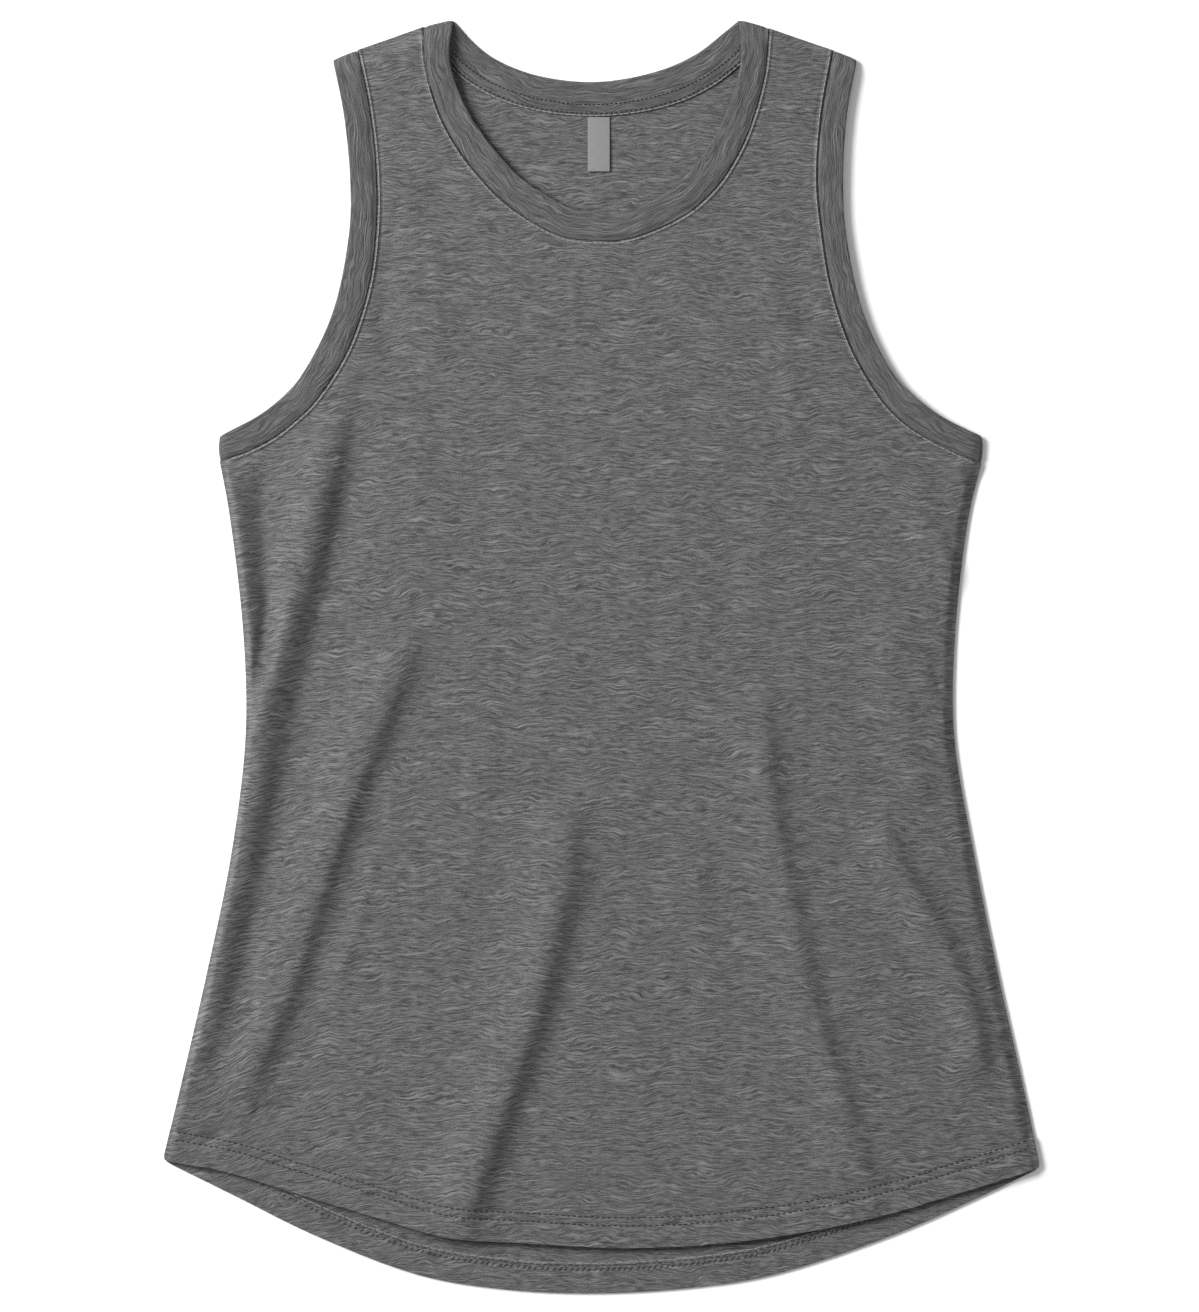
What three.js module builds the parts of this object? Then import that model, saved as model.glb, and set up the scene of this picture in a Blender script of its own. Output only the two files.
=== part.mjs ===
// A sleeveless tank top in thin jersey, laid out flat with its front up.
// Millimetres. X runs across the chest, Y from the hem up to the neck, Z up off the surface that it lies on.
// The origin is on that surface, at the middle of the garment's length and width.
// The back panel lies flat, and the front panel lies on it, raised a little by the air and the folds between them.
import * as THREE from "three";

// Thicknesses and gaps
const CLOTH = 1.0; // one layer of jersey, with the room that its loft takes
const HEM_LAYER = 0.8; // what the turned-up hem adds to it, on the inside
const BAND = 1.8; // a folded band, two layers
const TAPE = 1.0;
const SEAM_GAP = 0.3;

// Widths
const HEM_DEPTH = 17.5;
const HEM_STEP = 1.2; // over this the wall thins from the hem's two layers to one
const BAND_WIDTH = 15.5; // from the band's folded edge to its seam
const LABEL_WIDTH = 12.5;
const LABEL_LENGTH = 31;
const LABEL_MIDDLE = -1.5;

// How the front layer lies over the back one
const INNER_LIFT = 4.0; // its underside, away from the folded edges
const ROLL = 15; // how far in from a folded edge it takes to rise to that
const TURN_GAP = 0.2; // half the room inside a band where it turns over at a folded edge
const TURN_REACH = BAND + TURN_GAP; // how far the turned band stands out past its fold line

// Grid of the panels
const SHOULDER_COLUMNS = 7;
const NECK_COLUMNS = 30;
const SIDE_ROWS = 15;
const ARM_ROWS = 13;
const SHOULDER_SHARE = 0.17; // of the panel's width, at each side of the neck
const SIDE_SHARE = 0.6; // of the panel's length, below the armhole
const TURN_STEPS = 4; // half a turn of a band is this many steps

// Outlines, as seen from above. Each list runs from left to right, or from the bottom up.
const FRONT_HEM = [
  [-250, -287], [-211, -294.5], [-174, -306], [-132, -318.6], [-88, -331], [-43, -334.3],
  [9, -337], [61.6, -335], [114, -328.4], [162, -318.2], [210, -304], [250, -291.5],
];
const BACK_HEM = [
  [-250, -287], [-209.5, -307], [-163.3, -329.8], [-103.5, -352.5], [-55, -360.5], [-3.7, -362.8],
  [53.3, -359.4], [96.6, -352.5], [165.6, -329.8], [217.5, -307], [250, -291.5],
];
const SIDES = {
  left: [[-250, -287], [-241, -250], [-225, -181], [-211, -113], [-202.8, -45], [-204, 12], [-212, 81], [-217.5, 111.4]],
  right: [[250, -291.5], [241.4, -250], [226, -181], [212.3, -113], [201, -45], [201.5, 12], [209.5, 81], [216.5, 110]],
};
const ARM_SEAMS = {
  left: [
    [-217.5, 111.4], [-200.4, 117.7], [-186.4, 125.1], [-174.1, 134.8], [-162.9, 145.9], [-145.1, 173.6],
    [-133.1, 208.9], [-128.3, 246.2], [-128.5, 277.9], [-132.3, 312.6], [-139, 345.6],
  ],
  right: [
    [216.5, 110], [202.6, 116.2], [188.8, 123.1], [173.6, 132.8], [161, 145.2], [143.4, 174.7],
    [131.4, 210.6], [125.9, 243.3], [123.4, 272], [125.9, 308.8], [132.3, 345.3],
  ],
};
const ARM_EDGES = {
  left: [
    [-218.6, 125.1], [-211.8, 128.5], [-194.7, 137.7], [-180.4, 149.1], [-170.7, 160.5], [-153.6, 194.7],
    [-143.9, 240.3], [-143.1, 270], [-146.8, 308.7], [-153, 340],
  ],
  right: [
    [218, 125.1], [210, 128.5], [192.4, 137.7], [177.6, 149.1], [166.7, 160.5], [149.6, 194.7],
    [139.4, 240.3], [137.7, 274], [139.9, 308.7], [145.6, 340],
  ],
};
const FRONT_NECK_SEAM = [
  [-101.5, 358.8], [-99.5, 335], [-91.4, 308], [-80.9, 288.7], [-68.7, 273], [-53, 257.3], [-23.3, 239.9],
  [-3, 237], [15, 238], [48.2, 252.1], [65.7, 267.8], [76.2, 283.5], [84.9, 302.7], [92.5, 330], [95.5, 358],
];
const FRONT_NECK_EDGE = [
  [-84.6, 362.8], [-86.4, 339.3], [-77.4, 313.2], [-68.7, 299.2], [-56.5, 283.6], [-44.2, 271.3], [-18, 256],
  [-0.6, 252.9], [16, 254.3], [39.5, 266], [51.7, 278.2], [62.2, 292.2], [71, 309.6], [79.5, 339.3], [78.5, 362.8],
];
const BACK_NECK_SEAM = [
  [-101.5, 358.8], [-89.3, 344.4], [-68.7, 327.3], [-42, 316.5], [-3.5, 312], [35.6, 317.6], [61.2, 328.8],
  [82, 345.3], [95.5, 358],
];
const BACK_NECK_EDGE = [
  [-84.6, 362.8], [-72.1, 349.1], [-60.7, 340.6], [-37.9, 331.5], [-3.7, 327.5], [30.5, 333.2], [53.3, 342.9],
  [70.4, 356], [78.5, 362.8],
];

// The front's folds: the line that each runs along, its height (a trough's is negative),
// and how far it spreads to the left and the right of that line.
const FOLDS = [
  { name: "left side ridge", height: 5, left: 13, right: 9,
    line: [[-150, 150], [-155, 106], [-164, 61], [-174, 21], [-184, -25], [-195, -72], [-205, -122], [-218, -170], [-234, -232]] },
  { name: "left side trough", height: -1.8, left: 8, right: 9, line: [[-199, 95], [-200, 55], [-195, 21], [-197, -19]] },
  { name: "left hip ridge", height: 5, left: 16, right: 10,
    line: [[-104, 30], [-118, -13], [-132, -53], [-146, -99], [-160, -133], [-175, -167], [-187, -201], [-204, -247]] },
  { name: "left corner trough", height: -1.8, left: 8, right: 9, line: [[-129, -210], [-172, -244], [-229, -276]] },
  { name: "middle ridge", height: 5.5, left: 17, right: 10,
    line: [[-19, -60], [-21, -122], [-30, -156], [-41, -196], [-53, -233], [-68, -278], [-84, -332]] },
  { name: "right middle ridge", height: 3.5, left: 17, right: 11,
    line: [[87, -15], [95, -82], [103, -130], [112, -176], [124, -224], [144, -287]] },
  { name: "right waist ridge", height: 2.5, left: 14, right: 10, line: [[160, 15], [164, -2], [173, -48], [185, -96]] },
  { name: "right hip trough", height: -2.2, left: 9, right: 12,
    line: [[165, -96], [188, -142], [207, -173], [222, -207], [233, -252]] },
  { name: "right chest ridge", height: 2.5, left: 13, right: 8, line: [[172, 100], [188, 66], [200, 38]] },
  { name: "left strap trough", height: -0.9, left: 8, right: 8, line: [[-122, 262], [-124, 215], [-121, 165]] },
];
const FOLD_FADE = 0.22; // the share of a fold's length over which it fades at each end

// A band's section: the distance from its folded edge, and the low and high side of its wall there,
// measured from its inner face where it lies on the front and where it lies on the back.
const BAND_SECTION = [
  { across: 0, frontLow: 0.6, frontHigh: 1.4, backLow: 0.6, backHigh: 1.4 },
  { across: 1.5, frontLow: 0, frontHigh: BAND, backLow: 0, backHigh: BAND },
  { across: 12, frontLow: 0, frontHigh: BAND, backLow: 0, backHigh: BAND },
  { across: BAND_WIDTH - SEAM_GAP, frontLow: 0, frontHigh: CLOTH, backLow: BAND - CLOTH, backHigh: BAND },
];
// The tape's section: the distance from the back neck's folded edge, and the height of its underside.
const TAPE_SECTION = [
  { across: 12.2, under: BAND + SEAM_GAP },
  { across: BAND_WIDTH - 0.1, under: CLOTH + SEAM_GAP },
  { across: 19.8, under: CLOTH + SEAM_GAP },
];
const TAPE_START = 0.06; // the share of the back neck's length where the tape comes out from under the front
const TAPE_END = 0.94;

const mix = (a, b, t) => a + (b - a) * t;
const rise = (t) => {
  const s = Math.min(1, Math.max(0, t));
  return s * s * (3 - 2 * s);
};

// A smooth line through points in the plane, as a function of the share of its length.
function lineThrough(points) {
  const curve = new THREE.CatmullRomCurve3(points.map(([x, y]) => new THREE.Vector3(x, y, 0)), false, "centripetal");
  curve.arcLengthDivisions = 400;
  const at = (share) => {
    const p = curve.getPointAt(Math.min(1, Math.max(0, share)));
    return [p.x, p.y];
  };
  at.long = curve.getLength();
  return at;
}

// One boundary of a panel, made of several lines that meet end to end. Each entry is [share where it ends, line].
function endToEnd(stretches) {
  return (share) => {
    let from = 0;
    for (const [to, line] of stretches) {
      if (share <= to + 1e-9) return line((share - from) / (to - from));
      from = to;
    }
    return stretches.at(-1)[1](1);
  };
}

// The distance from a point to a line, and the share of the line's length where it is nearest.
function nearest(points, x, y) {
  let best = { off: Infinity, share: 0, side: 1 };
  const lengths = points.slice(1).map((p, i) => Math.hypot(p[0] - points[i][0], p[1] - points[i][1]));
  const long = lengths.reduce((a, b) => a + b, 0);
  let gone = 0;
  for (let i = 0; i < lengths.length; i++) {
    const [ax, ay] = points[i];
    const dx = points[i + 1][0] - ax;
    const dy = points[i + 1][1] - ay;
    const t = Math.min(1, Math.max(0, ((x - ax) * dx + (y - ay) * dy) / lengths[i] ** 2));
    const off = Math.hypot(x - ax - t * dx, y - ay - t * dy);
    if (off < best.off) {
      best = { off, share: (gone + t * lengths[i]) / long, side: Math.sign(dx * (y - ay) - dy * (x - ax)) };
    }
    gone += lengths[i];
  }
  return best;
}

const lines = {
  frontHem: lineThrough(FRONT_HEM),
  backHem: lineThrough(BACK_HEM),
  frontNeckSeam: lineThrough(FRONT_NECK_SEAM),
  frontNeckEdge: lineThrough(FRONT_NECK_EDGE),
  backNeckSeam: lineThrough(BACK_NECK_SEAM),
  backNeckEdge: lineThrough(BACK_NECK_EDGE),
  side: { left: lineThrough(SIDES.left), right: lineThrough(SIDES.right) },
  armSeam: { left: lineThrough(ARM_SEAMS.left), right: lineThrough(ARM_SEAMS.right) },
  armEdge: { left: lineThrough(ARM_EDGES.left), right: lineThrough(ARM_EDGES.right) },
};

// The edges where the front turns over into the back: both sides and both shoulders.
const foldedEdges = [
  [...SIDES.left, ARM_EDGES.left[0]],
  [...SIDES.right, ARM_EDGES.right[0]],
  [ARM_EDGES.left.at(-1), ARM_SEAMS.left.at(-1), FRONT_NECK_SEAM[0], FRONT_NECK_EDGE[0]],
  [ARM_EDGES.right.at(-1), ARM_SEAMS.right.at(-1), FRONT_NECK_SEAM.at(-1), FRONT_NECK_EDGE.at(-1)],
];

// How far the front layer has risen at a point, from 0 at a folded edge to 1 inside.
const risen = (x, y) => rise(Math.min(...foldedEdges.map((edge) => nearest(edge, x, y).off)) / ROLL);

// The height that the folds add to the front layer at a point.
function folded(x, y) {
  let height = 0;
  for (const fold of FOLDS) {
    const { off, share, side } = nearest(fold.line, x, y);
    const runsUp = fold.line.at(-1)[1] > fold.line[0][1];
    const toTheLeft = side > 0 === runsUp;
    const spread = toTheLeft ? fold.left : fold.right;
    const fade = rise(share / FOLD_FADE) * rise((1 - share) / FOLD_FADE + 0.35);
    height += fold.height * fade * Math.exp(-((off / spread) ** 2));
  }
  return height;
}

// The underside of the front layer. clear is how high it is at a folded edge, and nowhere is it lower.
const frontUnder = (x, y, clear) => Math.max(clear, mix(clear, INNER_LIFT + folded(x, y), risen(x, y)));

// A panel's plane grid, from its four boundaries: straight blends between facing boundaries, less the corners.
function panelPoint(hem, top, left, right) {
  const corner = { hemLeft: hem(0), hemRight: hem(1), topLeft: top(0), topRight: top(1) };
  return (u, v) =>
    [0, 1].map(
      (k) =>
        mix(hem(u)[k], top(u)[k], v) +
        mix(left(v)[k], right(v)[k], u) -
        mix(mix(corner.hemLeft[k], corner.hemRight[k], u), mix(corner.topLeft[k], corner.topRight[k], u), v),
    );
}

// The shares of a panel's width and length where its grid lines run.
const steps = (from, to, count) => Array.from({ length: count }, (_, i) => mix(from, to, i / count));
const columns = [
  ...steps(0, SHOULDER_SHARE, SHOULDER_COLUMNS),
  ...steps(SHOULDER_SHARE, 1 - SHOULDER_SHARE, NECK_COLUMNS),
  ...steps(1 - SHOULDER_SHARE, 1, SHOULDER_COLUMNS),
  1,
];
const panelLength = lines.side.left.long / SIDE_SHARE;
const hemTop = HEM_DEPTH / panelLength;
const hemStep = (HEM_DEPTH + HEM_STEP) / panelLength;
const rows = [0, hemTop, ...steps(hemStep, SIDE_SHARE, SIDE_ROWS), ...steps(SIDE_SHARE, 1, ARM_ROWS), 1];
const inHem = (row) => (row < 2 ? 1 : 0);

// A panel's point by its shares, with the rows near the hem moved so that they keep their distance from its edge.
function evenly(point, u, v) {
  const [edge, higher] = [point(u, 0), point(u, 0.05)];
  const long = Math.hypot(higher[0] - edge[0], higher[1] - edge[1]) / 0.05;
  return point(u, mix((v * panelLength) / long, v, rise(v / 0.3)));
}

// A closed solid between two sheets of points, low and high, each a list of lines of points.
// A loop's last line joins its first. A flat low sheet is one face, and not a grid.
function wall(low, high, { loop = false, flatLow = false } = {}) {
  const across = low[0].length;
  const position = [...low.flat(), ...high.flat()].flat();
  const at = (i, j) => (i % low.length) * across + j;
  const upper = low.length * across;
  const index = [];
  const quad = (a, b, c, d) => index.push(a, b, c, a, c, d);
  const spans = loop ? low.length : low.length - 1;
  for (let i = 0; i < spans; i++) {
    for (let j = 0; j < across - 1; j++) {
      const ring = [at(i, j), at(i + 1, j), at(i + 1, j + 1), at(i, j + 1)];
      if (!flatLow) quad(...ring.toReversed());
      quad(...ring.map((k) => k + upper));
    }
    quad(at(i, 0), at(i + 1, 0), at(i + 1, 0) + upper, at(i, 0) + upper);
    quad(at(i + 1, across - 1), at(i, across - 1), at(i, across - 1) + upper, at(i + 1, across - 1) + upper);
  }
  for (let j = 0; !loop && j < across - 1; j++) {
    quad(at(0, j + 1), at(0, j), at(0, j) + upper, at(0, j + 1) + upper);
    quad(at(spans, j), at(spans, j + 1), at(spans, j + 1) + upper, at(spans, j) + upper);
  }
  if (flatLow) {
    const rim = [
      ...steps(0, spans, spans).map((i) => at(Math.round(i), 0)),
      ...steps(0, across - 1, across - 1).map((j) => at(spans, Math.round(j))),
      ...steps(spans, 0, spans).map((i) => at(Math.round(i), across - 1)),
      ...steps(across - 1, 0, across - 1).map((j) => at(0, Math.round(j))),
    ];
    const outline = rim.map((k) => new THREE.Vector2(position[3 * k], position[3 * k + 1]));
    for (const [a, b, c] of THREE.ShapeUtils.triangulateShape(outline, [])) index.push(rim[c], rim[b], rim[a]);
  }
  if (volume(position, index) < 0) index.reverse();
  const geometry = new THREE.BufferGeometry();
  geometry.setAttribute("position", new THREE.Float32BufferAttribute(position, 3));
  geometry.setIndex(index);
  geometry.computeVertexNormals();
  return geometry;
}

function volume(position, index) {
  const point = (k) => new THREE.Vector3().fromArray(position, 3 * k);
  let sum = 0;
  for (let i = 0; i < index.length; i += 3) {
    sum += point(index[i]).dot(point(index[i + 1]).cross(point(index[i + 2])));
  }
  return sum / 6;
}

// Front and back panels
const sideLine = (hand) => endToEnd([[SIDE_SHARE, lines.side[hand]], [1, lines.armSeam[hand]]]);
const shoulder = (from, to) => (share) => [0, 1].map((k) => mix(from[k], to[k], share));
const topLine = (neckSeam) =>
  endToEnd([
    [SHOULDER_SHARE, shoulder(ARM_SEAMS.left.at(-1), FRONT_NECK_SEAM[0])],
    [1 - SHOULDER_SHARE, neckSeam],
    [1, shoulder(FRONT_NECK_SEAM.at(-1), ARM_SEAMS.right.at(-1))],
  ]);

function frontPanel() {
  const point = panelPoint(lines.frontHem, topLine(lines.frontNeckSeam), sideLine("left"), sideLine("right"));
  const single = columns.map((u) =>
    rows.map((v, row) => {
      const [x, y] = evenly(point, u, v);
      return [x, y, frontUnder(x, y, CLOTH + SEAM_GAP + 2 * HEM_LAYER * inHem(row))];
    }),
  );
  const low = single.map((line) => line.map(([x, y, z], row) => [x, y, z - HEM_LAYER * inHem(row)]));
  const high = single.map((line) => line.map(([x, y, z]) => [x, y, z + CLOTH]));
  return wall(low, high);
}

function backPanel() {
  const point = panelPoint(lines.backHem, topLine(lines.backNeckSeam), sideLine("left"), sideLine("right"));
  const low = columns.map((u) => rows.map((v) => [...evenly(point, u, v), 0]));
  const high = low.map((line) => line.map(([x, y], row) => [x, y, CLOTH + HEM_LAYER * inHem(row)]));
  return wall(low, high, { flatLow: true });
}

// Bands
// The points along a band's line where it has a section. Its ends stop short, by the reach of its turn.
function stations(count, line) {
  const points = [...steps(0, 1, count), 1].map(line);
  const shortened = (end, next) => {
    const share = TURN_REACH / Math.hypot(next[0] - end[0], next[1] - end[1]);
    return [0, 1].map((k) => mix(end[k], next[k], share));
  };
  return [shortened(points[0], points[1]), ...points.slice(1, -1), shortened(points.at(-1), points.at(-2))];
}

// One section of a band. turned is 0 on the front, 1 on the back, and between them where it turns over.
function bandSection(edge, seam, turned, place) {
  const low = [];
  const high = [];
  for (const s of BAND_SECTION) {
    const [x, y] = [0, 1].map((k) => mix(edge[k], seam[k], s.across / BAND_WIDTH));
    low.push(place(x, y, mix(s.frontLow, s.backLow, turned)));
    high.push(place(x, y, mix(s.frontHigh, s.backHigh, turned)));
  }
  return { low, high };
}

const onFront = (x, y, thick) => [x, y, frontUnder(x, y, BAND + 2 * TURN_GAP) + thick];
const onBack = (x, y, thick) => [x, y, BAND - thick];

// The sections where a band turns over a folded edge, from its end on the front to its end on the back.
function turn(front, back, outward) {
  return steps(0, 1, TURN_STEPS)
    .slice(1)
    .map((share) => {
      const angle = Math.PI * share;
      const place = (x, y, thick) => {
        const radius = TURN_GAP + thick;
        const out = radius * Math.sin(angle);
        return [x + outward[0] * out, y + outward[1] * out, BAND + TURN_GAP + radius * Math.cos(angle)];
      };
      const [edge, seam] = [0, 1].map((line) => [0, 1].map((k) => mix(front[line][k], back[line][k], share)));
      return bandSection(edge, seam, share, place);
    });
}

// The way from one point to another, one unit long.
function way(from, to) {
  const long = Math.hypot(to[0] - from[0], to[1] - from[1]);
  return [(to[0] - from[0]) / long, (to[1] - from[1]) / long];
}

// A loop along the front and back through the same count of steps. It turns over past both of its ends.
function band(count, frontEdge, frontSeam, backEdge, backSeam) {
  const paired = (edge, seam) => {
    const seamPoints = stations(count, seam);
    return stations(count, edge).map((point, i) => [point, seamPoints[i]]);
  };
  const front = paired(frontEdge, frontSeam);
  const back = paired(backEdge, backSeam);
  const seamWay = (end, next) => way(front.at(next)[1], front.at(end)[1]);
  const sections = [
    ...front.map(([edge, seam]) => bandSection(edge, seam, 0, onFront)),
    ...turn(front.at(-1), back.at(-1), seamWay(-1, -2)),
    ...back.toReversed().map(([edge, seam]) => bandSection(edge, seam, 1, onBack)),
    ...turn(front[0], back[0], seamWay(0, 1)).toReversed(),
  ];
  return wall(sections.map((s) => s.low), sections.map((s) => s.high), { loop: true });
}

const neckBand = () =>
  band(NECK_COLUMNS, lines.frontNeckEdge, lines.frontNeckSeam, lines.backNeckEdge, lines.backNeckSeam);

function armBand(hand) {
  const [edge, seam] = [lines.armEdge[hand], lines.armSeam[hand]];
  return band(ARM_ROWS, edge, seam, edge, seam);
}

// What lies on the inside of the back: the tape over the neck seam, and the label below it
function neckTape() {
  const shares = steps(0, 1, NECK_COLUMNS).filter((t) => t > TAPE_START && t < TAPE_END);
  const across = (t, d) => {
    const [edge, seam] = [lines.backNeckEdge(t), lines.backNeckSeam(t)];
    return [0, 1].map((k) => mix(edge[k], seam[k], d / BAND_WIDTH));
  };
  const low = shares.map((t) => TAPE_SECTION.map((s) => [...across(t, s.across), s.under]));
  const high = low.map((line) => line.map(([x, y, z]) => [x, y, z + TAPE]));
  return wall(low, high);
}

function label() {
  const top = lines.backNeckEdge(0.5)[1] - TAPE_SECTION.at(-1).across - SEAM_GAP;
  const box = new THREE.BoxGeometry(LABEL_WIDTH, LABEL_LENGTH, TAPE);
  return box.translate(LABEL_MIDDLE, top - LABEL_LENGTH / 2, CLOTH + SEAM_GAP + TAPE / 2);
}

const jersey = new THREE.MeshStandardMaterial({ color: 0x656565, roughness: 0.92, metalness: 0 });
const bandJersey = new THREE.MeshStandardMaterial({ color: 0x606060, roughness: 0.92, metalness: 0 });
const satin = new THREE.MeshStandardMaterial({ color: 0xa2a2a2, roughness: 0.6, metalness: 0 });

const tankTop = new THREE.Group();
const pieces = [
  ["front_panel", frontPanel(), jersey],
  ["back_panel", backPanel(), jersey],
  ["neck_band", neckBand(), bandJersey],
  ["left_arm_band", armBand("left"), bandJersey],
  ["right_arm_band", armBand("right"), bandJersey],
  ["back_neck_tape", neckTape(), bandJersey],
  ["neck_label", label(), satin],
];
for (const [name, geometry, material] of pieces) {
  const mesh = new THREE.Mesh(geometry, material);
  mesh.name = name;
  tankTop.add(mesh);
}

export default tankTop;
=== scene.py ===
# %% [markdown]
# # A tank top in slub jersey, laid out flat
# The top lies on its back on a pale surface, and the camera looks straight down at it.
# Its solids are loaded first, as a frame that fixes every size. Each of them is then replaced by a finer
# cloth that follows the same lines, so that the folds, the rolled edges and the stitches can be shown.

# %% The frame
import math
import bpy
import numpy as np
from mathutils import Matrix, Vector, noise


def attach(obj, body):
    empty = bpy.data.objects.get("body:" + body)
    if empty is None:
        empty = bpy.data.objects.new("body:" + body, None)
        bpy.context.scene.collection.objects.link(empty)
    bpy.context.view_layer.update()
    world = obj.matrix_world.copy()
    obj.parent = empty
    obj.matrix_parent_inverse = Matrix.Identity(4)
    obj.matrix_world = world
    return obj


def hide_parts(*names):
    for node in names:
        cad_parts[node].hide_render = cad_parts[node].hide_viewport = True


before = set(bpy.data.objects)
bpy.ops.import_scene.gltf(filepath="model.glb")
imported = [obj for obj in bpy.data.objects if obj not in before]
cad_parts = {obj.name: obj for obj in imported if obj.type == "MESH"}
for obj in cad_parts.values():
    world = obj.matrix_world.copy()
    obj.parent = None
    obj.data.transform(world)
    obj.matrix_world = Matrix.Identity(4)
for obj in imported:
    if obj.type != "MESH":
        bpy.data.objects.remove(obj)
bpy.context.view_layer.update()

# %% [markdown]
# ## The camera
# A garment laid flat is pictured from straight above, from far away, so that its edges stay true.
# A long lens at 6 m does that. The picture is 1199 by 1312 pixels, and a pixel covers 0.57 mm of the cloth.

# %% The camera, straight above
MM = 0.001
PIXEL = 0.57 * MM
PICTURE = (1199, 1312)
CAMERA_HEIGHT = 6.0
PICTURE_MIDDLE = (-1.1 * MM, 0.3 * MM)
lens = bpy.data.cameras.new("camera")
lens.sensor_fit = "VERTICAL"
lens.sensor_height = 36
lens.lens = 36 * CAMERA_HEIGHT / (PICTURE[1] * PIXEL)
lens.clip_end = 50
camera = bpy.data.objects.new("camera", lens)
camera.location = (*PICTURE_MIDDLE, CAMERA_HEIGHT)
bpy.context.scene.collection.objects.link(camera)
bpy.context.scene.camera = camera
print("lens:", round(lens.lens, 1), "mm")

# %% [markdown]
# ## The sizes
# A maker works from a few widths and from the outlines of the pieces. The outlines here are the seams and edges
# as the garment lies, each as a few points from left to right or from the bottom up, in millimetres.
# The numbers are those of the solids, so that cloth and solid stay together.

# %% Widths and heights
CLOTH = 1.0  # the room of one layer in the solids
LAYER = 0.8  # the cloth itself
HEM_LAYER = 0.8
BAND = 1.8
INNER_LIFT = 4.0
PEAK_LIFT = 2.6  # how far the front stands off the back beside each neck peak
TURN_GAP = 0.2
TURN_REACH = BAND + TURN_GAP
BAND_WIDTH = 15.5
SHOULDER_SHARE = 0.17
SIDE_SHARE = 0.6
FRONT_ROWS = (12.8, 17.4)  # how far the stitch rows stand above the hem's edge
BACK_ROWS = (13.2, 16.6)
HEM_DEPTH = 18.2

# %% Outlines of the panels
FRONT_HEM = [
    (-250, -287), (-211, -294.5), (-174, -306), (-132, -318.6), (-88, -331), (-43, -334.3),
    (9, -337), (61.6, -335), (114, -328.4), (162, -318.2), (210, -304), (250, -291.5),
]
BACK_HEM = [
    (-250, -287), (-209.5, -307), (-163.3, -329.8), (-103.5, -352.5), (-55, -360.5), (-3.7, -362.8),
    (53.3, -359.4), (96.6, -352.5), (165.6, -329.8), (217.5, -307), (250, -291.5),
]
LEFT_SIDE = [
    (-250, -287), (-241, -250), (-225, -181), (-211, -113), (-202.8, -45), (-204, 12), (-212, 81), (-217.5, 111.4),
]
RIGHT_SIDE = [
    (250, -291.5), (241.4, -250), (226, -181), (212.3, -113), (201, -45), (201.5, 12), (209.5, 81), (216.5, 110),
]

# %% Outlines of the armholes
LEFT_ARM_SEAM = [
    (-217.5, 111.4), (-200.4, 117.7), (-186.4, 125.1), (-174.1, 134.8), (-162.9, 145.9), (-145.1, 173.6),
    (-133.1, 208.9), (-128.3, 246.2), (-128.5, 277.9), (-132.3, 312.6), (-139, 345.6),
]
RIGHT_ARM_SEAM = [
    (216.5, 110), (202.6, 116.2), (188.8, 123.1), (173.6, 132.8), (161, 145.2), (143.4, 174.7),
    (131.4, 210.6), (125.9, 243.3), (123.4, 272), (125.9, 308.8), (132.3, 345.3),
]
LEFT_ARM_EDGE = [
    (-218.6, 125.1), (-211.8, 128.5), (-194.7, 137.7), (-180.4, 149.1), (-170.7, 160.5), (-153.6, 194.7),
    (-143.9, 240.3), (-143.1, 270), (-146.8, 308.7), (-153, 340),
]
RIGHT_ARM_EDGE = [
    (218, 125.1), (210, 128.5), (192.4, 137.7), (177.6, 149.1), (166.7, 160.5), (149.6, 194.7),
    (139.4, 240.3), (137.7, 274), (139.9, 308.7), (145.6, 340),
]

# %% Outlines of the neck
FRONT_NECK_SEAM = [
    (-101.5, 358.8), (-99.5, 335), (-91.4, 308), (-80.9, 288.7), (-68.7, 273), (-53, 257.3), (-23.3, 239.9),
    (-3, 237), (15, 238), (48.2, 252.1), (65.7, 267.8), (76.2, 283.5), (84.9, 302.7), (92.5, 330), (95.5, 358),
]
FRONT_NECK_EDGE = [
    (-84.6, 362.8), (-86.4, 339.3), (-77.4, 313.2), (-68.7, 299.2), (-56.5, 283.6), (-44.2, 271.3), (-18, 256),
    (-0.6, 252.9), (16, 254.3), (39.5, 266), (51.7, 278.2), (62.2, 292.2), (71, 309.6), (79.5, 339.3), (78.5, 362.8),
]
BACK_NECK_SEAM = [
    (-101.5, 358.8), (-89.3, 344.4), (-68.7, 327.3), (-42, 316.5), (-3.5, 312), (35.6, 317.6), (61.2, 328.8),
    (82, 345.3), (95.5, 358),
]
BACK_NECK_EDGE = [
    (-84.6, 362.8), (-72.1, 349.1), (-60.7, 340.6), (-37.9, 331.5), (-3.7, 327.5), (30.5, 333.2), (53.3, 342.9),
    (70.4, 356), (78.5, 362.8),
]

# %% [markdown]
# ## Smooth lines
# A seam is a smooth curve through its points. Blender has curves of its own, but a line in numbers can be asked
# for the point at any share of its length, and that is what lets two pieces meet all along a seam.

# %% A smooth line through points


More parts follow.
